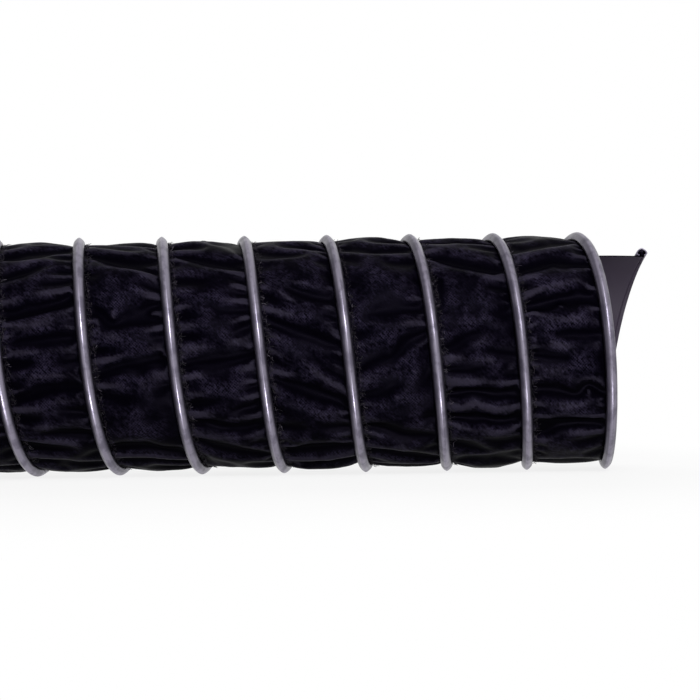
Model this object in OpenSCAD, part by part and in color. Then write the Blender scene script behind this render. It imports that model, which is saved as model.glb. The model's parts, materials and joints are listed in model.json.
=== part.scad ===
// Flexible air duct. A strip of coated fabric is wound into a tube. Its two edges stand up side
// by side as hems, and an open steel clip, roll-formed to a C, runs along the same helix and
// grips them from outside. Nothing else holds the tube together, so it stretches, closes up and
// bends between the clip turns.
//
// Frame: +X runs along the duct from the inlet to the outlet, +Z is up, and the origin is on the
// axis where the clip begins. The strip is followed by its winding angle w: the clip's middle
// line is at x = pitch * w / 360, and w = cut_angle is the first time that it passes the top.

/* [Duct] */
// Bore of the tube, which slips over a spigot of the same nominal size
bore_d = 100; // [80:1:160]
// Distance along the axis from one clip turn to the next
pitch = 38; // [30:0.2:46]
// Turns of the clip from the inlet cut to the outlet cut
turns = 10; // [4:1:14]
// Angle from the top back to the two raw cuts
cut_angle = 27; // [5:1:60]

/* [Fabric] */
// Thickness of the coated fabric
fabric_t = 0.55; // [0.4:0.05:0.7]
// How far a loose turn swells outwards between its clips
swell = 1.7; // [0.5:0.1:3]
// Height of the standing hems above the bore
hem_h = 4; // [3:0.1:4.2]
// Fabric left beside the end turns, where the next strip is trimmed away
trim_w = 3; // [1.5:0.1:5]

/* [Clip] */
// Width of the clip's C-section
clip_w = 5.1; // [4.8:0.1:6]
// Radius from the duct's axis to the clip's crown
clip_r_over_bore = 5.2; // [5:0.1:5.5]
// Height of the C-section from the crown to the lips' middle line
clip_h = 3.8; // [3.7:0.1:4.1]
// Thickness of the steel strip
strip_t = 0.6; // [0.4:0.05:0.7]
// Angle that the C covers on each side of its crown
c_half_angle = 150; // [135:1:155]

/* [Hidden] */
$fn = 96;
bore_r = bore_d / 2;
fabric_r = bore_r + fabric_t;
hem_r = bore_r + hem_h;
// Half of the slit in which two neighbouring hems meet
seam_gap = 0.05;
// Faces along one turn, and the winding angle of each
steps = 28;
step = 360 / steps;
// Flat facets dip inwards between their corners, so pieces that line the bore stand off by this
facet_dip = bore_r * (1 / cos(step / 2) - 1);

// Clip and fabric are cut into turns at the top, so that a turn can swing about the upright
// line through its cut. These are the gaps between two ends, as a length and an angle.
turn_gap = 1.2;
turn_gap_angle = turn_gap / (bore_r + clip_r_over_bore) * 180 / PI;
fabric_gap_angle = 0.6;

// Corners of the clip's middle line round the C
c_points = 7;
c_half_w = (clip_w - strip_t) / 2;
c_half_h = clip_h / 2;
c_mid_r = bore_r + clip_r_over_bore - strip_t / 2 - c_half_h;

STEEL = "#8f8a96";
FABRIC = "#1b1924";
TRIM = "#332a36";

function two_digits(k) = k < 10 ? str("0", k) : str(k);
function clip_name(k) = str("clip_turn_", two_digits(k));
function fabric_name(k) = str("fabric_turn_", two_digits(k));

fabric_turns = turns - 1;

// ---- Helix ------------------------------------------------------------------------------

// Winding angles from w0 to w1: the two ends, and every whole step from the top between them
function stations(w0, w1) =
    let (first = floor((w0 - cut_angle) / step + 0.01) + 1,
         last = ceil((w1 - cut_angle) / step - 0.01) - 1)
    concat([w0], [for (i = [first:last]) cut_angle + i * step], [w1]);

// A point of a section, [offset along the axis, radius], carried to winding angle w
function on_helix(p, w) =
    let (a = w - cut_angle)
    [pitch * w / 360 + p[0], -p[1] * sin(a), p[1] * cos(a)];

// Sweeps a section along the helix. A section is a closed strip of even length: its corners run
// counter-clockwise, radius upwards, first along one face and then back along the other, so each
// end is closed by the bands between facing corners.
module helix_sweep(section, w0, w1) {
    ws = stations(w0, w1);
    n = len(section);
    m = len(ws);
    last = (m - 1) * n;
    sides = [
        for (j = [0:m - 2], i = [0:n - 1])
            let (a = j * n + i, b = j * n + (i + 1) % n, c = a + n, d = b + n)
            each [[a, c, d], [a, d, b]]
    ];
    start_cap = [
        for (i = [0:n / 2 - 2])
            let (facing = n - 1 - i)
            each [[i, i + 1, facing - 1], [i, facing - 1, facing]]
    ];
    end_cap = [for (t = start_cap) [t[2] + last, t[1] + last, t[0] + last]];
    polyhedron(
        points = [for (w = ws, p = section) on_helix(p, w)],
        faces = concat(sides, start_cap, end_cap),
        convexity = 10
    );
}

// ---- Clip -------------------------------------------------------------------------------

// Point of the C at angle a from its crown, moved out from the middle line by offset
function on_c(a, offset) = [
    (c_half_w + offset) * sin(a),
    c_mid_r + (c_half_h + offset) * cos(a)
];

// The roll-formed strip: its outer face from one lip to the other, then its inner face back
function c_section() =
    let (half_t = strip_t / 2,
         angles = [for (i = [0:c_points - 1]) c_half_angle * (1 - 2 * i / (c_points - 1))])
    concat(
        [for (a = angles) on_c(a, half_t)],
        [for (i = [c_points - 1:-1:0]) on_c(angles[i], -half_t)]
    );

// Winding angles at which turn k of a strip with so many turns begins and ends. Its first and
// last turns end at the raw cuts, the others at the top.
function turn_start(k, gap) = k == 1 ? 0 : 360 * (k - 1) + cut_angle + gap / 2;
function turn_end(k, gap, count) = k == count ? 360 * count : 360 * k + cut_angle - gap / 2;

module clip_turn(k) {
    color(STEEL) helix_sweep(c_section(),
        turn_start(k, turn_gap_angle), turn_end(k, turn_gap_angle, turns));
}

// ---- Fabric -----------------------------------------------------------------------------

// Winding angles of the left edge of fabric turn k
function fabric_start(k) = turn_start(k, fabric_gap_angle);
function fabric_end(k) = turn_end(k, fabric_gap_angle, fabric_turns);

// Section of a loose turn: hem, swelling web and hem, from one clip to the next
function loose_section() =
    let (a0 = seam_gap,
         a1 = seam_gap + fabric_t,
         b1 = pitch - a1,
         b0 = pitch - a0,
         foot_r = bore_r + facet_dip,
         shoulder = pitch * 0.3,
         in_r = bore_r + swell,
         top_r = in_r + fabric_t)
    [
        [a0, hem_r], [a0, foot_r], [shoulder, in_r],
        [pitch - shoulder, in_r], [b0, foot_r], [b0, hem_r],
        [b1, hem_r], [b1, foot_r + fabric_t], [pitch - shoulder, top_r],
        [shoulder, top_r], [a1, foot_r + fabric_t], [a1, hem_r]
    ];

module loose_turn(k) {
    color(FABRIC) helix_sweep(loose_section(), fabric_start(k), fabric_end(k));
}

// A rectangle of the section plane, counter-clockwise
function box_section(a0, a1, r0, r1) = [[a0, r0], [a1, r0], [a1, r1], [a0, r1]];

// True round wall of the tube between two places along the axis
module round_wall(x0, x1) {
    translate([x0, 0, 0]) rotate([0, 90, 0]) difference() {
        cylinder(r = fabric_r, h = x1 - x0);
        translate([0, 0, -1]) cylinder(r = bore_r, h = x1 - x0 + 2);
    }
}

// The end turns lie smooth on the spigot, so their bore is a true cylinder. The round wall and
// its two hems are cut to the strip's edges by one helical cutter.
module snug_turn(k) {
    w0 = fabric_start(k);
    w1 = fabric_end(k);
    edge = 1;
    hem_foot_r = bore_r + facet_dip + 0.1;
    cut_in_r = bore_r * 0.9;
    cut_out_r = hem_r * 1.1;
    color(FABRIC) intersection() {
        union() {
            round_wall(pitch * w0 / 360 - edge, pitch * (w1 / 360 + 1) + edge);
            helix_sweep(box_section(-edge, seam_gap + fabric_t, hem_foot_r, hem_r),
                w0 - edge, w1 + edge);
            helix_sweep(box_section(pitch - seam_gap - fabric_t, pitch + edge, hem_foot_r, hem_r),
                w0 - edge, w1 + edge);
        }
        helix_sweep(box_section(seam_gap, pitch - seam_gap, cut_in_r, cut_out_r), w0, w1);
    }
}

module fabric_turn(k) {
    if (k == 1 || k == fabric_turns) snug_turn(k);
    else loose_turn(k);
}

// What is left of the neighbouring strip round an end turn: its hem, still held by the clip,
// and a narrow edge of its web. side is -1 at the inlet and 1 at the outlet.
module trimmed_hem(side, w0, w1) {
    r0 = bore_r + facet_dip + 0.05;
    r1 = r0 + 0.35;
    a0 = seam_gap;
    a1 = seam_gap + fabric_t;
    right = [[a0, hem_r], [a0, r0], [trim_w, r0], [trim_w, r1], [a1, r1], [a1, hem_r]];
    left = [for (i = [len(right) - 1:-1:0]) [-right[i][0], right[i][1]]];
    color(TRIM) helix_sweep(side > 0 ? right : left, w0, w1);
}

// ---- Assembly ---------------------------------------------------------------------------

for (k = [1:turns])
    clip_turn(k);
for (k = [1:fabric_turns])
    fabric_turn(k);
trimmed_hem(-1, 0, 360);  // trimmed_hem_inlet
trimmed_hem(1, 360 * fabric_turns, 360 * turns);  // trimmed_hem_outlet
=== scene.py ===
"""Looks of a flexible air duct: a steel clip wound over a strip of black coated cloth.

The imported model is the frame. Every size is taken from it or named here, in millimetres and
degrees unless a name says otherwise, and a finished mesh is in metres.
"""

import json
import logging
import math
from dataclasses import dataclass
from enum import Enum
from typing import ClassVar

import bpy
import numpy as np
from mathutils import Matrix, Vector

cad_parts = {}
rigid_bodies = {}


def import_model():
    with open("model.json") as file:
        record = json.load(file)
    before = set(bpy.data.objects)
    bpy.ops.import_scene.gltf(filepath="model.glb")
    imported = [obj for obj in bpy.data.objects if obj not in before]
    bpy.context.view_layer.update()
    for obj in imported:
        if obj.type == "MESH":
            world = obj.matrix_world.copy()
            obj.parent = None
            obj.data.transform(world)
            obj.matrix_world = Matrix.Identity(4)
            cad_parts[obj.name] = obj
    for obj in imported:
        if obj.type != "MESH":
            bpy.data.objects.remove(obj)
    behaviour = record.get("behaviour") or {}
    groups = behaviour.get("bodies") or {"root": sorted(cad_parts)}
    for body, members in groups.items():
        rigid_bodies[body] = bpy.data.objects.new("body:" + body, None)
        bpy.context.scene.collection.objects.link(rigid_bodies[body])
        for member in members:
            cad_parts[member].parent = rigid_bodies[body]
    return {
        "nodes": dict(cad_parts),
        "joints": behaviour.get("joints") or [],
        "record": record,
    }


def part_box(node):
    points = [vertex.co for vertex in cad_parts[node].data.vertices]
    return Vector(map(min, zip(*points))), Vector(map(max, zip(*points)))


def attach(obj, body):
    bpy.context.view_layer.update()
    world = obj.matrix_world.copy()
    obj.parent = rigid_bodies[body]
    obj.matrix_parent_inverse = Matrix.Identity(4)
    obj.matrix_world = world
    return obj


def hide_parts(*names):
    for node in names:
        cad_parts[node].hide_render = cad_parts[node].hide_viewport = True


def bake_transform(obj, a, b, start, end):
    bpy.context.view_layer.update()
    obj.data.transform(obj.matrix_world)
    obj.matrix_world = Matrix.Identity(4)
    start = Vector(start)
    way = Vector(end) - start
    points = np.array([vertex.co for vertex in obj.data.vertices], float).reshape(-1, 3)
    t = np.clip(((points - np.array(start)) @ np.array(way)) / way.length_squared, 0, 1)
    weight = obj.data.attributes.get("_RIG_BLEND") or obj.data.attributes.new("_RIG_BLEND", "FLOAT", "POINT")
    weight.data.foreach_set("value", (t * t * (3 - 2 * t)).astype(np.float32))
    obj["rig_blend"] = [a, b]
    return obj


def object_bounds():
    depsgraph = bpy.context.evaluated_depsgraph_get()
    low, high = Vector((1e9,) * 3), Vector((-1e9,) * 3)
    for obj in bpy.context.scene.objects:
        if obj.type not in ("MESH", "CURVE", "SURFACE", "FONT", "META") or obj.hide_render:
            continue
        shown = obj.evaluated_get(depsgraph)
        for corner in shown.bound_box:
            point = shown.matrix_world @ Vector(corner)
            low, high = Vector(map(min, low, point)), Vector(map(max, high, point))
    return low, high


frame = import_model()
CAD_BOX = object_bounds()

LOG = logging.getLogger("duct")
MM = 0.001
TURN = 360.0
TINY = 1e-6
DIGITS = 9
WHITE = (1.0, 1.0, 1.0, 1.0)

Triple = tuple[float, float, float]
Colour = Triple
Band = tuple[float, float]


# ---- Nodes ------------------------------------------------------------------------------------


class Value:
    """A number socket that takes part in arithmetic by adding Math nodes."""

    def __init__(self, nodes: "Nodes", socket: bpy.types.NodeSocket) -> None:
        """Wraps a socket.

        Args:
            nodes: The tree's node maker.
            socket: The output socket that gives the number.
        """
        self.nodes = nodes
        self.socket = socket

    def _math(self, operation: str, *values: object, clamp: bool = False) -> "Value":
        """Adds one Math node.

        Args:
            operation: The Math node's operation.
            values: Its inputs in order, as numbers or Values.
            clamp: Whether the result is held between 0 and 1.

        Returns:
            The node's result.
        """
        settings = {"operation": operation, "use_clamp": clamp}
        return self.nodes.get("ShaderNodeMath", settings, dict(enumerate(values)))

    def __add__(self, other: object) -> "Value":
        """Gives self + other."""
        return self._math("ADD", self, other)

    __radd__ = __add__

    def __sub__(self, other: object) -> "Value":
        """Gives self - other."""
        return self._math("SUBTRACT", self, other)

    def __rsub__(self, other: object) -> "Value":
        """Gives other - self."""
        return self._math("SUBTRACT", other, self)

    def __mul__(self, other: object) -> "Value":
        """Gives self * other."""
        return self._math("MULTIPLY", self, other)

    __rmul__ = __mul__

    def __truediv__(self, other: object) -> "Value":
        """Gives self / other."""
        return self._math("DIVIDE", self, other)

    def __rtruediv__(self, other: object) -> "Value":
        """Gives other / self."""
        return self._math("DIVIDE", other, self)

    def __pow__(self, power: object) -> "Value":
        """Gives self to a power."""
        return self._math("POWER", self, power)

    def floor(self) -> "Value":
        """Gives the whole number below."""
        return self._math("FLOOR", self)

    def sin(self) -> "Value":
        """Gives the sine of an angle in radians."""
        return self._math("SINE", self)

    def cos(self) -> "Value":
        """Gives the cosine of an angle in radians."""
        return self._math("COSINE", self)

    def below(self, limit: object) -> "Value":
        """Gives 1 where the number is under the limit, and 0 elsewhere."""
        return self._math("LESS_THAN", self, limit)

    def above(self, limit: object) -> "Value":
        """Gives 1 where the number is over the limit, and 0 elsewhere."""
        return self._math("GREATER_THAN", self, limit)

    def clamped(self) -> "Value":
        """Gives the number held between 0 and 1."""
        return self._math("ADD", self, 0.0, clamp=True)

    def ramp(self, low: float, high: float) -> "Value":
        """Gives a smooth step.

        Args:
            low: The number that becomes 0.
            high: The number that becomes 1.

        Returns:
            The number's place between the two, eased at both ends.
        """
        settings = {"interpolation_type": "SMOOTHSTEP"}
        return self.nodes.get(
            "ShaderNodeMapRange", settings, {"Value": self, "From Min": low, "From Max": high}
        )


@dataclass(frozen=True)
class Grain:
    """A kind of noise: its lumps per unit, the finer layers on top and how strong each is."""

    per_unit: float
    layers: float
    strong: float = 0.5


class Nodes:
    """Adds nodes to a shader or geometry tree."""

    MIX_COLOURS: ClassVar[tuple[int, int]] = (6, 7)
    MIXED_COLOUR: ClassVar[int] = 2

    def __init__(self, tree: bpy.types.NodeTree) -> None:
        """Keeps the tree that the nodes are added to."""
        self.tree = tree

    def add(self, kind: str, settings: dict, values: dict) -> bpy.types.Node:
        """Adds any node.

        Args:
            kind: The node's type.
            settings: Its settings by name, which are made before its sockets are filled.
            values: A number, colour, Value or socket for each socket, by name or number.

        Returns:
            The node.
        """
        node = self.tree.nodes.new(kind)
        for name, setting in settings.items():
            setattr(node, name, setting)
        for name, value in values.items():
            socket = node.inputs[name]
            if isinstance(value, Value):
                value = value.socket
            if isinstance(value, bpy.types.NodeSocket):
                self.tree.links.new(value, socket)
            else:
                socket.default_value = value
        return node

    def get(self, kind: str, settings: dict, values: dict, output: object = 0) -> Value:
        """Adds any node and gives one of its outputs.

        Args:
            kind: The node's type.
            settings: Its settings by name.
            values: What goes into its sockets.
            output: The output's name or number.

        Returns:
            The output as a Value.
        """
        return Value(self, self.add(kind, settings, values).outputs[output])

    def mix(self, share: object, first: object, second: object) -> Value:
        """Mixes two colours.

        Args:
            share: 0 for the first colour and 1 for the second.
            first: A colour.
            second: A colour.

        Returns:
            The mixed colour.
        """
        settings = {"data_type": "RGBA", "clamp_factor": True}
        values = {"Factor": share, **dict(zip(self.MIX_COLOURS, (first, second)))}
        return self.get("ShaderNodeMix", settings, values, self.MIXED_COLOUR)

    def vector(self, *parts: object) -> Value:
        """Joins three numbers into a vector."""
        return self.get("ShaderNodeCombineXYZ", {}, dict(enumerate(parts)))

    def stretch(self, where: object, by: Triple) -> Value:
        """Multiplies coordinates by three numbers."""
        return self.get("ShaderNodeVectorMath", {"operation": "MULTIPLY"}, {0: where, 1: by})

    def noise(self, where: object, grain: Grain) -> Value:
        """Samples noise from 0 to 1, mostly near 0.5, at the coordinates given."""
        numbers = {"Scale": grain.per_unit, "Detail": grain.layers, "Roughness": grain.strong}
        return self.get("ShaderNodeTexNoise", {}, {"Vector": where, **numbers})


def rgba(colour: Colour) -> tuple[float, float, float, float]:
    """Gives a colour with full alpha."""
    return *colour, 1.0


# ---- The helix that everything follows -----------------------------------------------------------


@dataclass(frozen=True)
class Winding:
    """The helix of the duct, followed by its winding angle.

    The clip's middle line is at x = pitch * w / 360, and it passes the top for the first time at
    w = cut_angle. A place along the strip is also given as its run, which is that x.
    """

    pitch: float
    bore_r: float
    crown_r: float
    cut_angle: float
    turns: int
    first_loose: int
    last_loose: int
    lean_from_turn: int = 3
    lean_turns: int = 6
    lean_even: float = 0.0054
    lean_rising: float = 0.0039
    lean_at_end: float = 0.0399
    lean_power: int = 4

    @classmethod
    def from_frame(cls) -> "Winding":
        """Works the helix out from the frame's joints, mounts and nodes.

        Returns:
            The duct's helix.
        """
        bends = sorted(j["name"] for j in frame["joints"] if j["name"].startswith("bend_"))
        places = {j["name"]: j["pos_m"][0] / MM for j in frame["joints"] if j["name"] in bends}
        first, last = int(bends[0][-2:]), int(bends[-1][-2:])
        pitch = (places[bends[-1]] - places[bends[0]]) / (last - first)
        bores = {m["name"]: m["dims"] for m in frame["record"]["mounts"]}
        return cls(
            pitch=pitch,
            bore_r=bores["inlet_bore"]["r_mm"],
            crown_r=round(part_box("clip_turn_05")[1].z / MM, 1),
            cut_angle=TURN * (places[bends[0]] / pitch - first),
            turns=sum(name.startswith("clip_turn_") for name in frame["nodes"]),
            first_loose=first,
            last_loose=last,
        )

    def top(self, turn: float) -> float:
        """Gives the x at which the clip passes the top after so many turns."""
        return self.pitch * (turn + self.cut_angle / TURN)

    def angle(self, run: float) -> float:
        """Gives the winding angle of a run."""
        return TURN * run / self.pitch

    def place(self, x: np.ndarray, radius: np.ndarray, angle: np.ndarray) -> np.ndarray:
        """Puts points round the axis.

        Args:
            x: Their places along the axis.
            radius: Their distances from it.
            angle: Their winding angles.

        Returns:
            Their coordinates in millimetres, with the duct straight.
        """
        turned = np.radians(angle - self.cut_angle)
        return np.stack([x, -radius * np.sin(turned), radius * np.cos(turned)], -1)

    def lean(self, points: np.ndarray) -> np.ndarray:
        """Leans the turns as they stand on a real cut length, more towards the outlet.

        Args:
            points: Coordinates in millimetres.

        Returns:
            The same points, with x moved in step with z.
        """
        begin, length = self.top(self.lean_from_turn), self.lean_turns * self.pitch
        share = (points[..., 0] - begin) / length
        late = np.clip(share, 0, None) ** self.lean_power
        slope = self.lean_even + self.lean_rising * share + self.lean_at_end * late
        leant = points.copy()
        leant[..., 0] += slope * points[..., 2]
        return leant


@dataclass(frozen=True)
class Zone:
    """A stretch of the duct that hangs on one body, or between the two bodies of a joint."""

    name: str
    start: float
    end: float
    bodies: tuple[str, ...]
    clip_nodes: tuple[str, ...]
    cloth_nodes: tuple[str, ...]
    still: float = 0.7
    ease: float = 1.0

    def share(self, run: np.ndarray) -> np.ndarray:
        """Works out how far each point follows the second body.

        Args:
            run: The points' places along the duct.

        Returns:
            0 near the start and 1 near the end, rising evenly between them.
        """
        length = self.end - self.start - 2 * self.still
        u = np.clip(run - self.start - self.still, 0, length)
        slope = 1 / (length - self.ease)
        easing_in = u**2 * slope / (2 * self.ease)
        easing_out = 1 - (length - u) ** 2 * slope / (2 * self.ease)
        even = (u - self.ease / 2) * slope
        return np.where(
            u < self.ease, easing_in, np.where(u > length - self.ease, easing_out, even)
        )

    def hang(self, piece: bpy.types.Object) -> None:
        """Makes a piece move with the zone.

        Args:
            piece: A mesh with a point attribute "run", in millimetres.
        """
        LOG.info("%s: %d faces", piece.name, len(piece.data.polygons))
        if len(self.bodies) == 1:
            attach(piece, self.bodies[0])
            return
        start, end = ((x * MM, 0, 0) for x in (self.start, self.end))
        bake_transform(piece, *self.bodies, start=start, end=end)
        run = read_floats(piece.data, "run")
        weights = piece.data.attributes["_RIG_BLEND"]
        weights.data.foreach_set("value", self.share(run).astype(np.float32))


def zones_of(winding: Winding) -> list[Zone]:
    """Divides the duct at its joints.

    Args:
        winding: The duct's helix.

    Returns:
        The inlet, a stretching and a bending zone for each loose turn, and the outlet.
    """
    quarter = winding.pitch / 4
    joints = {j["name"]: j for j in frame["joints"]}
    clips = {n: f"clip_turn_{n:02d}" for n in range(1, winding.turns + 1)}
    cloths = {n: f"fabric_turn_{n:02d}" for n in range(1, winding.turns)}
    first, last = winding.first_loose, winding.last_loose
    begin = winding.top(first) - 3 * quarter
    zones = [Zone("inlet", -winding.pitch, begin, ("inlet",), (clips[1], clips[2]), (cloths[1],))]
    for turn in range(first, last + 1):
        top = winding.top(turn)
        for kind, before, after, clip in (("stretch", 3, 1, turn), ("bend", 1, -1, turn + 1)):
            joint = joints[f"{kind}_{turn:02d}"]
            zones.append(
                Zone(
                    joint["name"], top - before * quarter, top - after * quarter,
                    (joint["parent"], joint["child"]), (clips[clip],), (cloths[turn],),
                )
            )
    end = winding.pitch * (winding.turns + 1)
    zones.append(
        Zone(
            "outlet", zones[-1].end, end, ("outlet",),
            (clips[winding.turns - 1], clips[winding.turns]), (cloths[winding.turns - 1],),
        )
    )
    return zones


# ---- Meshes -------------------------------------------------------------------------------------


def read_floats(mesh: bpy.types.Mesh, name: str) -> np.ndarray:
    """Reads a point attribute of numbers.

    Args:
        mesh: The mesh that has it.
        name: The attribute's name.

    Returns:
        A number for each point.
    """
    values = np.zeros(len(mesh.vertices), np.float32)
    mesh.attributes[name].data.foreach_get("value", values)
    return values


def read_points(mesh: bpy.types.Mesh) -> np.ndarray:
    """Reads a mesh's coordinates.

    Args:
        mesh: The mesh.

    Returns:
        A row of three for each point.
    """
    points = np.zeros(len(mesh.vertices) * 3, np.float32)
    mesh.vertices.foreach_get("co", points)
    return points.reshape(-1, 3)


def write_floats(mesh: bpy.types.Mesh, name: str, values: np.ndarray) -> None:
    """Adds a point attribute.

    Args:
        mesh: The mesh that gets it.
        name: The attribute's name.
        values: A number for each point, or a row of three for an attribute of vectors.
    """
    kind, field = ("FLOAT", "value") if values.ndim == 1 else ("FLOAT_VECTOR", "vector")
    attribute = mesh.attributes.new(name, kind, "POINT")
    attribute.data.foreach_set(field, values.astype(np.float32).ravel())


def new_object(name: str, mesh: bpy.types.Mesh) -> bpy.types.Object:
    """Links a mesh into the scene.

    Args:
        name: What the object and the mesh are called.
        mesh: The mesh.

    Returns:
        The object.
    """
    piece = bpy.data.objects.new(name, mesh)
    mesh.name = name
    bpy.context.scene.collection.objects.link(piece)
    return piece


class GeometryTree(Nodes):
    """A Geometry Nodes tree with named inputs, and what runs it."""

    def __init__(self, name: str, sizes: dict[str, object]) -> None:
        """Makes the empty tree.

        Args:
            name: The tree's name.
            sizes: Its inputs, each a socket type's ending or a number to start from.
        """
        super().__init__(bpy.data.node_groups.new(name, "GeometryNodeTree"))
        face = self.tree.interface
        face.new_socket("Geometry", in_out="INPUT", socket_type="NodeSocketGeometry")
        face.new_socket("Geometry", in_out="OUTPUT", socket_type="NodeSocketGeometry")
        self.sockets = {}
        for label, size in sizes.items():
            ending = {float: "Float", int: "Int"}.get(type(size), size)
            socket = face.new_socket(label, in_out="INPUT", socket_type=f"NodeSocket{ending}")
            if not isinstance(size, str):
                socket.default_value = size
            self.sockets[label] = socket.identifier
        self.entry = self.tree.nodes.new("NodeGroupInput")

    def size(self, label: str) -> Value:
        """Gives one of the tree's inputs."""
        return Value(self, self.entry.outputs[label])

    def close(self, geometry: Value) -> None:
        """Ends the tree.

        Args:
            geometry: What is realized, given its material and sent out.
        """
        real = self.get("GeometryNodeRealizeInstances", {}, {0: geometry})
        dressed = self.get(
            "GeometryNodeSetMaterial", {}, {"Geometry": real, "Material": self.size("Material")}
        )
        self.add("NodeGroupOutput", {}, {0: dressed})

    def run(self, name: str, base: bpy.types.Mesh, values: dict[str, object]) -> bpy.types.Object:
        """Makes a plain mesh piece with the tree.

        Args:
            name: The piece's name.
            base: The mesh that goes in.
            values: The inputs that differ from their defaults, the material among them.

        Returns:
            The piece, with no modifier left on it.
        """
        worker = new_object(name + "_worker", base)
        modifier = worker.modifiers.new("make", "NODES")
        modifier.node_group = self.tree
        for label, value in values.items():
            modifier[self.sockets[label]] = value
        evaluated = worker.evaluated_get(bpy.context.evaluated_depsgraph_get())
        mesh = bpy.data.meshes.new_from_object(evaluated)
        bpy.data.objects.remove(worker)
        return new_object(name, mesh)


# ---- Finishes -----------------------------------------------------------------------------------


class Paint(Nodes):
    """A new material: its nodes, with one Principled shader at their end."""

    def __init__(self, name: str, constants: dict[str, object]) -> None:
        """Makes the material.

        Args:
            name: Its name.
            constants: What is set on the shader's own sockets.
        """
        self.material = bpy.data.materials.new(name)
        self.material.use_nodes = True
        super().__init__(self.material.node_tree)
        self.shader = self.tree.nodes["Principled BSDF"]
        for socket, value in constants.items():
            self.shader.inputs[socket].default_value = value

    def attribute(self, name: str, output: str = "Fac") -> Value:
        """Reads one of the piece's attributes."""
        return self.get("ShaderNodeAttribute", {"attribute_name": name}, {}, output)

    def part(self, vector: Value, axis: str) -> Value:
        """Gives one coordinate of a vector."""
        return self.get("ShaderNodeSeparateXYZ", {}, {0: vector}, axis)

    def bump(self, height: Value, depth_mm: float, strength: float) -> Value:
        """Turns a height from 0 to 1 into a normal, for relief so many millimetres deep."""
        values = {"Height": height, "Distance": depth_mm * MM, "Strength": strength}
        return self.get("ShaderNodeBump", {}, values)

    def feed(self, values: dict[str, Value]) -> bpy.types.Material:
        """Links values to the shader's sockets.

        Args:
            values: A Value for each socket, by name.

        Returns:
            The finished material.
        """
        for socket, value in values.items():
            self.tree.links.new(value.socket, self.shader.inputs[socket])
        return self.material


@dataclass(frozen=True)
class RolledSteel:
    """Galvanised strip: grey, softly shining, with drawn streaks and dull patches, and painted shade on its
    sides.
    """

    colour: Colour = (0.220, 0.202, 0.258)
    dull: Colour = (0.124, 0.113, 0.152)
    # The colour of the painted shade on the strip's sides.
    flank: Colour = (0.030, 0.026, 0.042)
    roughness: Band = (0.30, 0.42)
    streaks: Grain = Grain(1.1, 1.0)
    streak_stretch: Triple = (0.03, 1.0, 1.0)
    streak_depth_mm: float = 0.03
    streak_strength: float = 0.15
    patches: Grain = Grain(0.12, 4.0, 0.6)
    patch_band: Band = (0.38, 0.66)
    dull_shares: Band = (0.6, 0.4)
    dull_band: Band = (0.25, 0.85)
    rough_shares: Band = (0.8, 0.2)
    near_flank_mm: Band = (0.8, 1.9)
    near_flank_share: float = 0.72
    far_flank_mm: Band = (1.7, 2.8)
    far_flank_share: float = 0.5

    def make(self) -> bpy.types.Material:
        """Builds the material.

        Returns:
            The steel. It reads "strip": mm along, and mm across from the crown.
        """
        paint = Paint("rolled_steel", {"Metallic": 1.0})
        strip = paint.attribute("strip", "Vector")
        streak = paint.noise(paint.stretch(strip, self.streak_stretch), self.streaks)
        patch = paint.noise(strip, self.patches).ramp(*self.patch_band)
        across = paint.part(strip, "Y")
        # Painted shade: the strip is darkened on its side towards the inlet and at its outer edge towards
        # the outlet, where it would reflect the dark cloth.
        near = self.near_flank_share * (-1 * across).ramp(*self.near_flank_mm)
        far = self.far_flank_share * across.ramp(*self.far_flank_mm)
        of_patch, of_streak = self.dull_shares
        dull = (patch * of_patch + streak * of_streak).ramp(*self.dull_band)
        colour = paint.mix(dull, rgba(self.colour), rgba(self.dull))
        colour = paint.mix(near + far, colour, rgba(self.flank))
        low, high = self.roughness
        of_patch, of_streak = self.rough_shares
        rough = low + (high - low) * (patch * of_patch + streak * of_streak)
        normal = paint.bump(streak, self.streak_depth_mm, self.streak_strength)
        return paint.feed({"Base Color": colour, "Roughness": rough, "Normal": normal})


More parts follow.
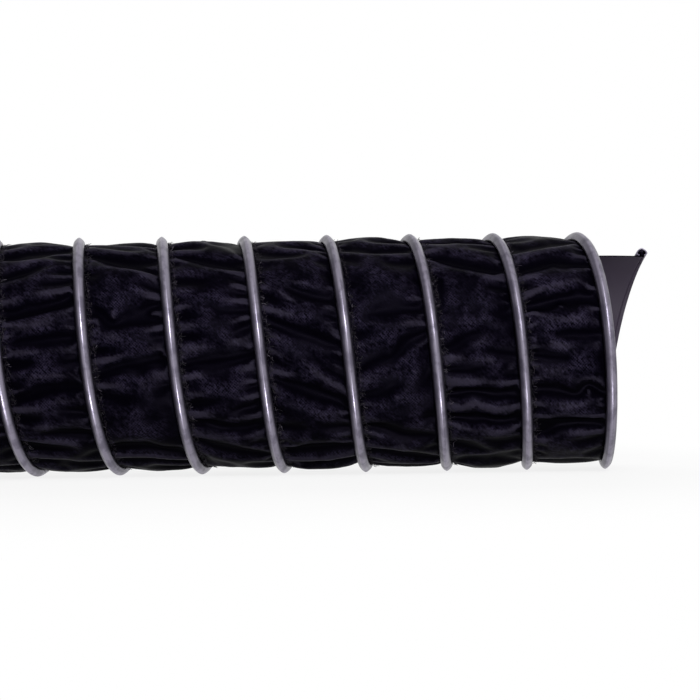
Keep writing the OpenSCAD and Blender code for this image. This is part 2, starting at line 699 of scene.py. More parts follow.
@dataclass(frozen=True)
class CoatedCloth:
    """Black coated weave: its threads show in soft patches, its fold crests are lighter with wear and
    painted highlight, and its hollows are darker with painted shade.
    """

    deep: Colour = (0.0003, 0.0001, 0.0011)
    woven: Colour = (0.0185, 0.0152, 0.0310)
    rubbed: Colour = (0.040, 0.035, 0.056)
    frayed: Colour = (0.055, 0.044, 0.060)
    sheen: float = 0.009
    sheen_tint: Colour = (0.70, 0.62, 1.0)
    thread_mm: float = 1.3
    clouds: Grain = Grain(0.085, 4.0, 0.62)
    patch_band: Band = (0.38, 0.66)
    patch_least: float = 0.10
    patch_gain: float = 1.2
    strokes: Grain = Grain(1.1, 3.0, 0.7)
    stroke_angle: float = 0.75
    stroke_stretch: Triple = (1.0, 0.4, 1.0)
    fleck_level: float = 0.36
    fleck_contrast: float = 3.0
    fleck_weave: float = 0.4
    # Painted shade in the hollows of the folds, and on the web beside the next clip.
    hollow_band: Band = (0.27, 0.70)
    hollow_tone: float = 0.02
    height_gain: float = 1.08
    far_side_mm: Band = (26.0, 33.0)
    far_side_share: float = 0.72
    # Lighter fold crests: partly worn coating, partly painted highlight.
    rub_strokes: float = 0.28
    rub_clouds: float = 0.3
    rub_band: Band = (0.66, 0.94)
    rub_share: float = 0.45
    fray_line_mm: float = 4.3
    fray_wander_mm: float = 1.6
    fray_sharpness: float = 14.0
    fray_band: Band = (0.50, 0.66)
    fray_share: float = 0.8
    least_rough: float = 0.27
    rough_clouds: float = 0.12
    rough_strokes: float = 0.08
    relief_weave: float = 0.5
    relief_strokes: float = 0.8
    relief_frayed: float = 0.8
    relief_mm: float = 0.10
    relief_strength: float = 0.8

    def make(self) -> bpy.types.Material:
        """Builds the material.

        Returns:
            The cloth. It reads "strip", which is mm across and mm along, "crease" and "ridge".
        """
        constants = {"Specular IOR Level": self.sheen, "Specular Tint": rgba(self.sheen_tint)}
        paint = Paint("coated_cloth", constants)
        strip = paint.attribute("strip", "Vector")
        across = paint.part(strip, "X")
        weave = self._weave(paint, strip)
        cloudy = paint.noise(strip, self.clouds)
        fine = self._strokes(paint, strip)
        patches = self.patch_least + self.patch_gain * cloudy.ramp(*self.patch_band)
        # The weave's tone carries painted shade, darkest in the hollows.
        tone = self._flecks(weave, fine, patches) * patches * self._height(paint, across)
        colour = paint.mix(tone, rgba(self.deep), rgba(self.woven))
        # Painted highlight along the fold crests, which also stands for the coating worn there.
        ridge = paint.attribute("ridge")
        broken = ridge + (fine - 0.5) * self.rub_strokes + (cloudy - 0.5) * self.rub_clouds
        wear_and_highlight_mask = broken.ramp(*self.rub_band) * self.rub_share
        colour = paint.mix(wear_and_highlight_mask, colour, rgba(self.rubbed))
        offset = across - self.fray_line_mm + (cloudy - 0.5) * self.fray_wander_mm
        line = (1 - offset * offset * self.fray_sharpness).clamped() * fine.ramp(*self.fray_band)
        colour = paint.mix(line * self.fray_share, colour, rgba(self.frayed))
        rough = self.least_rough + self.rough_clouds * cloudy + self.rough_strokes * fine
        relief = weave * self.relief_weave * patches + fine * self.relief_strokes
        relief = relief + line * self.relief_frayed
        normal = paint.bump(relief, self.relief_mm, self.relief_strength)
        return paint.feed({"Base Color": colour, "Roughness": rough, "Normal": normal})

    def _weave(self, paint: Paint, strip: Value) -> Value:
        """Weaves warp and weft at the strip's own scale.

        Args:
            paint: The material's nodes.
            strip: The coordinates on the strip.

        Returns:
            The weave's height from 0 to 1.
        """
        rate = 2 * math.pi / self.thread_mm
        warp, weft = ((paint.part(strip, axis) * rate).sin() for axis in "XY")
        return warp * weft * 0.5 + 0.5

    def _strokes(self, paint: Paint, strip: Value) -> Value:
        """Draws short strokes that lie askew on the strip.

        Args:
            paint: The material's nodes.
            strip: The coordinates on the strip.

        Returns:
            Fine noise from 0 to 1.
        """
        values = {"Vector": strip, "Angle": self.stroke_angle}
        turned = paint.get("ShaderNodeVectorRotate", {"rotation_type": "Z_AXIS"}, values)
        return paint.noise(paint.stretch(turned, self.stroke_stretch), self.strokes)

    def _height(self, paint: Paint, across: Value) -> Value:
        """Puts painted shade on the weave: darkest in the hollows, lighter up to the folds, and darker on
        the far side of the web, beside the next clip.

        Args:
            paint: The material's nodes.
            across: How far across the strip a point is.

        Returns:
            How light the weave is there.
        """
        crease = paint.attribute("crease")
        # Painted shadow on the far side of the web, beside the next clip.
        shaded = 1 - self.far_side_share * across.ramp(*self.far_side_mm)
        return self.hollow_tone + self.height_gain * (crease.ramp(*self.hollow_band) * shaded)

    def _flecks(self, weave: Value, fine: Value, patches: Value) -> Value:
        """Gives the light flecks of the weave, from 0 to 1."""
        woven = self.fleck_weave * (weave - 0.5) * patches
        return (self.fleck_level + woven + (fine - 0.5) * self.fleck_contrast).clamped()


@dataclass(frozen=True)
class SmoothLining:
    """The coating on the inside: smooth, dark and slightly purple."""

    colour: Colour = (0.034, 0.0242, 0.044)
    pale: Colour = (0.038, 0.0270, 0.049)
    sheen: float = 0.15
    clouds: Grain = Grain(0.09, 3.0)
    cloud_band: Band = (0.35, 0.7)
    grain: Grain = Grain(2.0, 2.0)
    least_rough: float = 0.5
    rough_clouds: float = 0.2
    grain_mm: float = 0.03
    grain_strength: float = 0.3

    def make(self) -> bpy.types.Material:
        """Builds the material.

        Returns:
            The lining. It reads "strip": mm across and mm along.
        """
        paint = Paint("smooth_lining", {"Specular IOR Level": self.sheen})
        strip = paint.attribute("strip", "Vector")
        soft = paint.noise(strip, self.clouds)
        grain = paint.noise(strip, self.grain)
        colour = paint.mix(soft.ramp(*self.cloud_band), rgba(self.colour), rgba(self.pale))
        rough = self.least_rough + self.rough_clouds * soft
        normal = paint.bump(grain, self.grain_mm, self.grain_strength)
        return paint.feed({"Base Color": colour, "Roughness": rough, "Normal": normal})


@dataclass(frozen=True)
class FrayedThread:
    """Loose ends of the weave: most are black, a few are pale."""

    dark: Colour = (0.004, 0.003, 0.006)
    middling: Colour = (0.022, 0.017, 0.028)
    light: Colour = (0.10, 0.088, 0.115)
    sheen: float = 0.2
    middling_band: Band = (0.35, 0.9)
    light_band: Band = (0.88, 0.99)
    twists: Grain = Grain(4000.0, 2.0)
    least_rough: float = 0.6
    rough_twist: float = 0.2

    def make(self) -> bpy.types.Material:
        """Builds the material.

        Returns:
            The thread's finish. It reads "tone", a number from 0 to 1 for each thread.
        """
        paint = Paint("frayed_thread", {"Specular IOR Level": self.sheen})
        tone = paint.attribute("tone")
        where = paint.get("ShaderNodeTexCoord", {}, {}, "Object")
        twist = paint.noise(where, self.twists)
        colour = paint.mix(tone.ramp(*self.middling_band), rgba(self.dark), rgba(self.middling))
        colour = paint.mix(tone.ramp(*self.light_band), colour, rgba(self.light))
        rough = self.least_rough + self.rough_twist * twist
        return paint.feed({"Base Color": colour, "Roughness": rough})


@dataclass
class Finishes:
    """The duct's materials, each made once."""

    steel: bpy.types.Material
    cloth: bpy.types.Material
    lining: bpy.types.Material
    thread: bpy.types.Material

    @classmethod
    def make(cls) -> "Finishes":
        """Builds all of them."""
        kinds = (RolledSteel, CoatedCloth, SmoothLining, FrayedThread)
        return cls(*(kind().make() for kind in kinds))


# ---- The clip -----------------------------------------------------------------------------------


@dataclass
class Clip:
    """The steel strip, rolled to a peaked C whose mouth grips the hems, and wound on the helix.

    Its depth is taken from the crown to its widest place, and from there to where its lips would
    meet. The peak is 0 for an even bow and more for a sharper crown.
    """

    winding: Winding
    finishes: Finishes
    width: float = 5.1
    crown_depth: float = 2.9
    lip_depth: float = 1.5
    peak: float = 0.45
    strip_t: float = 0.6
    half_angle: float = 150.0
    sharp_angle: float = 40.0
    points_per_face: int = 25
    stations_per_turn: int = 240

    def build(self, zones: list[Zone]) -> dict[str, bpy.types.Object]:
        """Makes one piece for each zone.

        Args:
            zones: The duct's zones in order.

        Returns:
            The pieces by the zone's name.
        """
        tree = self._tree()
        return {zone.name: self._piece(tree, zone) for zone in zones}

    def _piece(self, tree: GeometryTree, zone: Zone) -> bpy.types.Object:
        """Winds the clip through one zone and hangs it there.

        Args:
            tree: The Geometry Nodes that wind it.
            zone: The zone.

        Returns:
            The piece.
        """
        start = max(self.winding.angle(zone.start), 0)
        end = min(self.winding.angle(zone.end), TURN * self.winding.turns)
        stations = 1 + round((end - start) / TURN * self.stations_per_turn)
        values = {
            "Start Angle": float(start),
            "End Angle": float(end),
            "Stations": stations,
            "Material": self.finishes.steel,
        }
        piece = tree.run("clip_" + zone.name, bpy.data.meshes.new("clip_base"), values)
        leant = self.winding.lean(read_points(piece.data) / MM) * MM
        piece.data.vertices.foreach_set("co", leant.astype(np.float32).ravel())
        piece.data.update()
        zone.hang(piece)
        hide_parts(*zone.clip_nodes)
        return piece

    def _tree(self) -> GeometryTree:
        """Builds the tree that sweeps the C along the helix.

        Returns:
            The tree. Its points carry "run" and "strip".
        """
        t = GeometryTree(
            "wound_clip",
            {
                "Start Angle": 0.0,
                "End Angle": TURN,
                "Stations": 2,
                "Points Per Face": self.points_per_face,
                "Pitch": self.winding.pitch,
                "Cut Angle": self.winding.cut_angle,
                "Crown Radius": self.winding.crown_r,
                "Width": self.width,
                "Crown Depth": self.crown_depth,
                "Lip Depth": self.lip_depth,
                "Peak": self.peak,
                "Strip Thickness": self.strip_t,
                "Half Angle": self.half_angle,
                "Material": "Material",
            },
        )
        ring = t.size("Points Per Face") * 2
        stations = t.size("Stations")
        tube = t.get(
            "GeometryNodeMeshCylinder", {"fill_type": "NGON"},
            {"Vertices": ring, "Side Segments": stations - 1},
        )
        index = t.get("GeometryNodeInputIndex", {}, {})
        station = ((index + 0.5) / ring).floor()
        angle, inside = self._angle(t, index - station * ring)
        across, radius = self._section(t, angle, inside)
        share = station / (stations - 1)
        turned = t.size("Start Angle") * (1 - share) + t.size("End Angle") * share
        run = t.size("Pitch") * turned / TURN
        around = (turned - t.size("Cut Angle")) * math.radians(1)
        y, z = radius * around.sin() * -MM, radius * around.cos() * MM
        place = t.vector((run + across) * MM, y, z)
        swept = t.get("GeometryNodeSetPosition", {}, {"Geometry": tube, "Position": place})
        ran = self._store(t, swept, "FLOAT", "run", run)
        along = around * t.size("Crown Radius")
        strip = t.vector(along, angle * t.size("Width") / 2, inside)
        marked = self._store(t, ran, "FLOAT_VECTOR", "strip", strip)
        edge = t.get("GeometryNodeInputMeshEdgeAngle", {}, {}, "Unsigned Angle")
        smooth = t.get(
            "GeometryNodeSetShadeSmooth", {"domain": "EDGE"},
            {"Geometry": marked, "Shade Smooth": edge.below(math.radians(self.sharp_angle))},
        )
        t.close(smooth)
        return t

    @staticmethod
    def _angle(t: GeometryTree, corner: Value) -> tuple[Value, Value]:
        """Works out where a corner of the section lies on the C.

        Args:
            t: The tree.
            corner: The corner's number, forth along the outer face and back along the inner.

        Returns:
            Its angle from the crown in radians, and 1 on the inner face or 0 on the outer.
        """
        count = t.size("Points Per Face")
        inside = corner.above(count - 0.5)
        back = corner - count
        half = t.size("Half Angle") * math.radians(1)
        forth_angle = half * (2 * corner / (count - 1) - 1)
        back_angle = half * (1 - 2 * back / (count - 1))
        return forth_angle * (1 - inside) + back_angle * inside, inside

    @staticmethod
    def _section(t: GeometryTree, angle: Value, inside: Value) -> tuple[Value, Value]:
        """Gives the peaked C its shape.

        Args:
            t: The tree.
            angle: The corner's angle from the crown.
            inside: 1 on the inner face and 0 on the outer.

        Returns:
            The corner's distances from the clip's middle along the duct, and from the axis.
        """
        inset = t.size("Strip Thickness") * inside
        upper = angle.cos().clamped()
        lower = (angle.cos() * -1).clamped()
        across = (t.size("Width") / 2 - inset) * angle.sin() * (1 - t.size("Peak") * upper**2)
        widest_r = t.size("Crown Radius") - t.size("Crown Depth")
        rise = (t.size("Crown Depth") - inset) * upper - (t.size("Lip Depth") - inset) * lower
        return across, widest_r + rise

    @staticmethod
    def _store(t: GeometryTree, geometry: Value, kind: str, name: str, value: Value) -> Value:
        """Stores a point attribute.

        Args:
            t: The tree.
            geometry: What gets it.
            kind: Its data type.
            name: Its name.
            value: What it holds.

        Returns:
            The geometry with the attribute.
        """
        settings = {"data_type": kind, "domain": "POINT"}
        values = {"Geometry": geometry, "Name": name, "Value": value}
        return t.get("GeometryNodeStoreNamedAttribute", settings, values)


# ---- The cloth ----------------------------------------------------------------------------------


def smooth_noise(shape: tuple[int, int], cells: tuple[int, int], seed: int) -> np.ndarray:
    """Makes soft noise on a grid.

    Args:
        shape: The grid's rows and columns.
        cells: How many lumps lie along each.
        seed: What the noise starts from.

    Returns:
        Numbers about 0, mostly within 1.
    """
    knots = np.random.default_rng(seed).standard_normal([c + 1 for c in cells])
    rows = np.linspace(0, cells[0], shape[0])
    columns = np.linspace(0, cells[1], shape[1])
    return resample(resample(knots, rows, 0), columns, 1)


def resample(field: np.ndarray, at: np.ndarray, axis: int) -> np.ndarray:
    """Reads a field between its rows with a smooth cubic.

    Args:
        field: The numbers.
        at: The places to read, counted in rows.
        axis: Which axis the rows are on.

    Returns:
        The field at those places.
    """
    rows = np.moveaxis(field, axis, 0)
    last = len(rows) - 1
    below = np.clip(np.floor(at).astype(int), 0, max(last - 1, 0))
    t = (at - below).reshape((-1,) + (1,) * (rows.ndim - 1))
    a, b, c, d = (rows[np.clip(below + k, 0, last)] for k in (-1, 0, 1, 2))
    curve = b + 0.5 * t * (c - a + t * (2 * a - 5 * b + 4 * c - d + t * (3 * (b - c) + d - a)))
    return np.moveaxis(curve, 0, axis)


def blurred(field: np.ndarray, passes: int) -> np.ndarray:
    """Softens a grid of numbers.

    Args:
        field: The numbers.
        passes: How often each is averaged with its neighbours.

    Returns:
        The softened numbers.
    """
    for _ in range(passes):
        for axis in (0, 1):
            f = np.moveaxis(field, axis, 0)
            padded = np.concatenate([f[:1], f, f[-1:]])
            field = np.moveaxis((padded[:-2] + 2 * f + padded[2:]) / 4, 0, axis)
    return field


class End(Enum):
    """A raw end of the duct, with the way that it faces along the axis."""

    INLET = -1
    OUTLET = 1


@dataclass
class Cloth:
    """The wound strip of coated cloth, with its hems up in the clip's mouth."""

    SOLVER: ClassVar[dict[str, object]] = {
        "quality": 6, "mass": 0.3, "air_damping": 1.0, "use_pressure": True,
        "tension_stiffness": 40.0, "compression_stiffness": 40.0, "shear_stiffness": 12.0,
        "tension_damping": 10.0, "compression_damping": 10.0, "shear_damping": 10.0,
        "bending_damping": 1.0, "vertex_group_mass": "held",
    }

    winding: Winding
    finishes: Finishes
    thickness: float = 0.55
    hem_r: float = 53.9
    hem_s: float = 0.29
    fold: float = 0.25
    hem_points: int = 4
    foot_r: float = 50.45
    still_width: float = 3.0
    broad_passes: int = 60
    broad_kept: float = 0.3
    held_width: float = 2.5
    deepest_dip: float = 1.2
    easing: float = 0.5
    beside_clip: tuple[float, ...] = (0.8, 1.3, 2.2, 2.8, 4.5)
    room_beside_clip: tuple[float, ...] = (50.6, 50.7, 51.0, 51.9, 53.9)
    rows_per_turn: int = 300
    web_columns: int = 41
    calm_angles: Band = (100.0, 190.0)
    end_bulge: float = 0.5
    frayed_band: Band = (1.8, 5.0)
    margin: float = 2.4
    margin_points: int = 4
    tip_margin: float = 1.2
    tip_fade: float = 40.0
    margin_lumps: tuple[int, int] = (24, 110)
    margin_layers: tuple[int, int] = (5, 9)
    margin_waver: Band = (0.08, 0.06)
    margin_lift: float = 0.12

    grid_rows: int = 240
    grid_columns: int = 30
    full_size: float = 20.0
    slack_round: float = 0.06
    slack_varies: float = 0.03
    slack_lumps: tuple[int, int] = (14, 2)
    slack_along: float = 0.01
    shear: float = 0.025
    shear_lumps: int = 6
    start_lumps: tuple[int, int] = (60, 8)
    start_height: float = 0.25
    quick_lumps: tuple[int, int] = (44, 3)
    quick_height: float = 0.45
    bulge: float = 1.3
    bulge_power: float = 0.7
    stiffness: float = 20.0
    pressure: float = 0.04
    closing_frames: int = 14
    frames: int = 28
    seed: int = 1

    def __post_init__(self) -> None:
        """Works out how often the strip is wound, and where its web begins and ends."""
        self.wound = self.winding.turns - 1
        self.web_start = self.hem_s + self.fold
        self.web_end = self.winding.pitch - self.web_start

    def _lumps(self, shape: tuple[int, int], lumps: tuple[int, int], layer: int) -> np.ndarray:
        """Makes soft noise on the whole strip.

        Args:
            shape: The grid's rows and columns.
            lumps: How many lie along one turn, and across the strip.
            layer: Which of the strip's noises it is.

        Returns:
            Numbers about 0, mostly within 1.
        """
        return smooth_noise(shape, (self.wound * lumps[0], lumps[1]), self.seed + layer)

    # -- Simulation

    def _laid_out(self) -> tuple[np.ndarray, np.ndarray, np.ndarray]:
        """Gives the strip's web before it is simulated.

        Returns:
            Each grid point's place across the strip, winding angle and radius.
        """
        rows = self.grid_rows * self.wound + 1
        across = np.linspace(self.web_start, self.web_end, self.grid_columns)
        s, w = np.meshgrid(across, np.linspace(0, TURN * self.wound, rows))
        arch = self._arch(s)
        lumps = self._lumps(s.shape, self.start_lumps, 0)
        swell = self.bulge * arch**self.bulge_power
        radius = self.foot_r + swell + self.start_height * lumps * arch
        return s, w, radius

    def _arch(self, s: np.ndarray) -> np.ndarray:
        """Gives a bow that is 0 at the hems and 1 half way between them."""
        return np.sin(np.pi * (s - self.web_start) / (self.web_end - self.web_start))

    def _cut(self, s: np.ndarray, w: np.ndarray, radius: np.ndarray) -> np.ndarray:
        """Gives the strip at the size it was cut to, which is more than it has room for.

        Args:
            s: Places across the strip.
            w: Winding angles.
            radius: Radii of the laid out strip.

        Returns:
            Coordinates in millimetres, wound wider and drawn a little askew.
        """
        varied = self._lumps(s.shape, self.slack_lumps, 1)
        askew = self.shear * self._lumps(s.shape, (self.shear_lumps, 1), 2)
        middle = self.winding.pitch / 2
        x = self.winding.pitch * w / TURN + middle + (s - middle) * (1 + self.slack_along)
        wide = radius * (1 + self.slack_round + self.slack_varies * varied)
        turned = np.degrees(askew * (s - middle) / (self.web_end - self.web_start))
        return self.winding.place(x, wide, w + turned)

    def _simulated(self) -> tuple[np.ndarray, np.ndarray, np.ndarray]:
        """Gathers the cut strip between its held hems until it buckles into folds.

        Returns:
            How far each grid point moved along the axis, its radius, and how far it turned.
        """
        s, w, radius = self._laid_out()
        x = self.winding.pitch * w / TURN + s
        scale = MM * self.full_size
        rows, columns = s.shape
        index = np.arange(rows * columns).reshape(rows, columns)
        cut = (self._cut(s, w, radius) * scale).reshape(-1, 3)
        mesh = bpy.data.meshes.new("strip_worker")
        mesh.from_pydata(cut.tolist(), [], self.quads(index).tolist())
        worker = new_object("strip_worker", mesh)
        held = np.concatenate([index[:, 0], index[:, -1], index[0], index[-1]])
        self._gather(worker, self.winding.place(x, radius, w) * scale, held)
        evaluated = worker.evaluated_get(bpy.context.evaluated_depsgraph_get())
        settled = bpy.data.meshes.new_from_object(evaluated)
        points = read_points(settled).astype(float).reshape(rows, columns, 3) / scale
        bpy.data.objects.remove(worker)
        settled_r = np.hypot(points[..., 1], points[..., 2])
        turned = np.degrees(np.arctan2(-points[..., 1], points[..., 2])) + self.winding.cut_angle
        twist = (turned - w + TURN / 2) % TURN - TURN / 2
        return points[..., 0] - x, settled_r, twist

    def _gather(self, worker: bpy.types.Object, wound: np.ndarray, held: np.ndarray) -> None:
        """Draws the held edges in to their place in the clip, and lets the rest follow.

        Args:
            worker: The cut strip, many times its size, at which the solver is steady.
            wound: Where its points belong when it is wound.
            held: The points that are held.
        """
        group = worker.vertex_groups.new(name="held")
        group.add([int(i) for i in held], 1.0, "REPLACE")
        worker.shape_key_add(name="cut")
        key = worker.shape_key_add(name="wound")
        key.data.foreach_set("co", wound.astype(np.float32).ravel())
        for frame_number, value in ((1, 0.0), (self.closing_frames, 1.0)):
            key.value = value
            key.keyframe_insert("value", frame=frame_number)
        modifier = worker.modifiers.new("cloth", "CLOTH")
        modifier.collision_settings.use_collision = False
        modifier.point_cache.frame_start = 1
        modifier.point_cache.frame_end = self.frames
        cloth = modifier.settings
        for name, value in self.SOLVER.items():
            setattr(cloth, name, value)
        cloth.bending_stiffness = self.stiffness
        cloth.uniform_pressure_force = self.pressure
        cloth.effector_weights.gravity = 0.0
        for frame_number in range(1, self.frames + 1):
            bpy.context.scene.frame_set(frame_number)

    # -- The fine strip

    @staticmethod
    def quads(index: np.ndarray) -> np.ndarray:
        """Gives the faces of a grid, outwards where rows wind on and columns run along x."""
        corners = (index[:-1, :-1], index[1:, :-1], index[1:, 1:], index[:-1, 1:])
        return np.stack(corners, -1).reshape(-1, 4)

    def _hem(self) -> tuple[np.ndarray, np.ndarray]:
        """Gives the hem, from its edge down to the corner where it folds into the web.

        Returns:
            Places across the strip and radii of the middle line.
        """
        radii = np.linspace(self.hem_r, self.foot_r + self.fold, self.hem_points)
        radii = np.append(radii, self.foot_r)
        return np.full(len(radii), self.hem_s), radii

    def strip(self) -> "ClothGrid":
        """Makes the whole strip's middle surface.

        Returns:
            The grid, from one raw end to the other.
        """
        moved, radius, twist = self._simulated()
        rows = self.rows_per_turn * self.wound + 1
        at_rows = np.linspace(0, radius.shape[0] - 1, rows)
        at_columns = np.linspace(0, radius.shape[1] - 1, self.web_columns)
        moved, radius, twist = (
            resample(resample(f, at_rows, 0), at_columns, 1) for f in (moved, radius, twist)
        )
        hem_s, hem_r = self._hem()
        web_s = np.linspace(self.web_start, self.web_end, self.web_columns)
        pitch = self.winding.pitch
        s = np.concatenate([hem_s, web_s, pitch - hem_s[::-1]])
        w = np.linspace(0, TURN * self.wound, rows)
        radius = self._levelled(web_s, radius)
        smooth_web = self.foot_r + self.end_bulge * self._arch(web_s)
        radius = self._settled(w, radius, smooth_web)
        moved, twist = (self._settled(w, f, 0.0) for f in (moved, twist))
        side = ((0, 0), (len(hem_s), len(hem_s)))
        moved, twist = (np.pad(f, side) for f in (moved, twist))
        still = np.ones((rows, 1))
        radius = np.concatenate([still * hem_r, radius, still * hem_r[::-1]], 1)
        s, w = np.meshgrid(s, w)
        radius = self._kept_clear(s, w, radius)
        return ClothGrid(self, s, w, moved, radius, twist)

    def _levelled(self, s: np.ndarray, radius: np.ndarray) -> np.ndarray:
        """Evens out how far the web swells, and keeps its folds.

        Args:
            s: The columns' places across the strip.
            radius: The web's radii.

        Returns:
            Radii that swell about evenly all the way round.
        """
        broad = blurred(radius, self.broad_passes)
        bow = np.clip(self._arch(s), 0, 1) ** self.bulge_power
        swell = float(np.median(broad[:, len(s) // 2])) - self.foot_r
        near = np.minimum(s, self.winding.pitch - s) - self.web_start
        free = 1 - np.exp(-((near / self.held_width) ** 2))
        uneven = self.broad_kept * (broad - self.foot_r - swell * bow)
        return self.foot_r + self.bulge * bow + free * (uneven + radius - broad)

    def _settled(self, w: np.ndarray, field: np.ndarray, plain: object) -> np.ndarray:
        """Calms the folds where the strip nears its raw ends.

        Args:
            w: The winding angle of each row.
            field: What the folds change, on the web's grid.
            plain: What it would be without them.

        Returns:
            The field, eased to plain at both ends.
        """
        low, high = self.calm_angles
        from_end = np.minimum(w - w[0], w[-1] - w)
        t = np.clip((from_end - low) / (high - low), 0, 1)[:, None]
        return plain + (field - plain) * (t * t * (3 - 2 * t))

    def margin_grid(self, end: End) -> "ClothGrid":
        """Makes what is left of the neighbouring strip at a raw end.

        Args:
            end: The end.

        Returns:
            The hem and a narrow, slightly uneven edge of the web, one turn long.
        """
        winding = self.winding
        hem_s, hem_r = self._hem()
        web = np.linspace(0, 1, self.margin_points)
        start = TURN * self.wound if end is End.OUTLET else -TURN
        rows = self.rows_per_turn + 1
        w = np.linspace(start, start + TURN, rows)
        wander, fine = (
            smooth_noise((rows, 1), (lumps, 1), self.seed + layer + end.value)
            for lumps, layer in zip(self.margin_lumps, self.margin_layers)
        )
        near_tip = np.exp(-np.abs(winding.turns * TURN - w[:, None]) / self.tip_fade)
        reach = self.margin + (self.tip_margin - self.margin) * near_tip
        reach = reach + self.margin_waver[0] * wander + self.margin_waver[1] * fine
        web_s = self.web_start + (reach - self.web_start) * web
        s = np.concatenate([np.ones((rows, 1)) * hem_s, web_s], 1)
        lift = self.margin_lift * web**2 * (1 + 0.5 * wander)
        radius = np.concatenate([np.ones((rows, 1)) * hem_r, self.foot_r + lift], 1)
        if end is End.INLET:
            s, radius = winding.pitch - s[:, ::-1], radius[:, ::-1]
        w = np.broadcast_to(w[:, None], s.shape)
        still = np.zeros(s.shape)
        return ClothGrid(self, s, w, still, radius, still)

    def flat_size(self, zone: Zone) -> tuple[float, float]:
        """Gives the size that a zone's cloth had before it was wound.

        Args:
            zone: The zone.

        Returns:
            Its width along the duct with the hems, and its length round the duct, in metres.
        """
        pitch = self.winding.pitch
        start, end = max(zone.start, 0), min(zone.end, pitch * self.winding.turns)
        cut_away = pitch / 2 if len(zone.bodies) == 1 else 0
        hems = 2 * (self.hem_r - self.foot_r)
        width = (end - start - cut_away) / pitch * (pitch + hems)
        length = 2 * math.pi * self.foot_r * (1 + self.slack_round)
        return width * MM, length * MM

    def _kept_clear(self, s: np.ndarray, w: np.ndarray, radius: np.ndarray) -> np.ndarray:
        """Holds the web between the bore and the clip.

        Args:
            s: Places across the strip.
            w: Winding angles.
            radius: Radii of the middle surface.

        Returns:
            The radii, with what would go too far in or out eased back.
        """
        near = np.minimum(s, self.winding.pitch - s)
        dip = self.deepest_dip * np.clip(self._arch(s), 0, 1) ** 0.5
        floor = self.winding.bore_r + self.thickness / 2 - dip
        ceiling = np.interp(near, self.beside_clip, self.room_beside_clip)
        low = floor + self.easing
        lifted = floor + self.easing * np.exp(np.minimum(radius - low, 0) / self.easing)
        eased_in = np.where(radius < low, lifted, radius)
        over = np.clip(eased_in - ceiling + self.easing, 0, None)
        eased = eased_in - over + self.easing * (1 - np.exp(-over / self.easing))
        return np.where(near >= self.web_start - TINY, eased, radius)


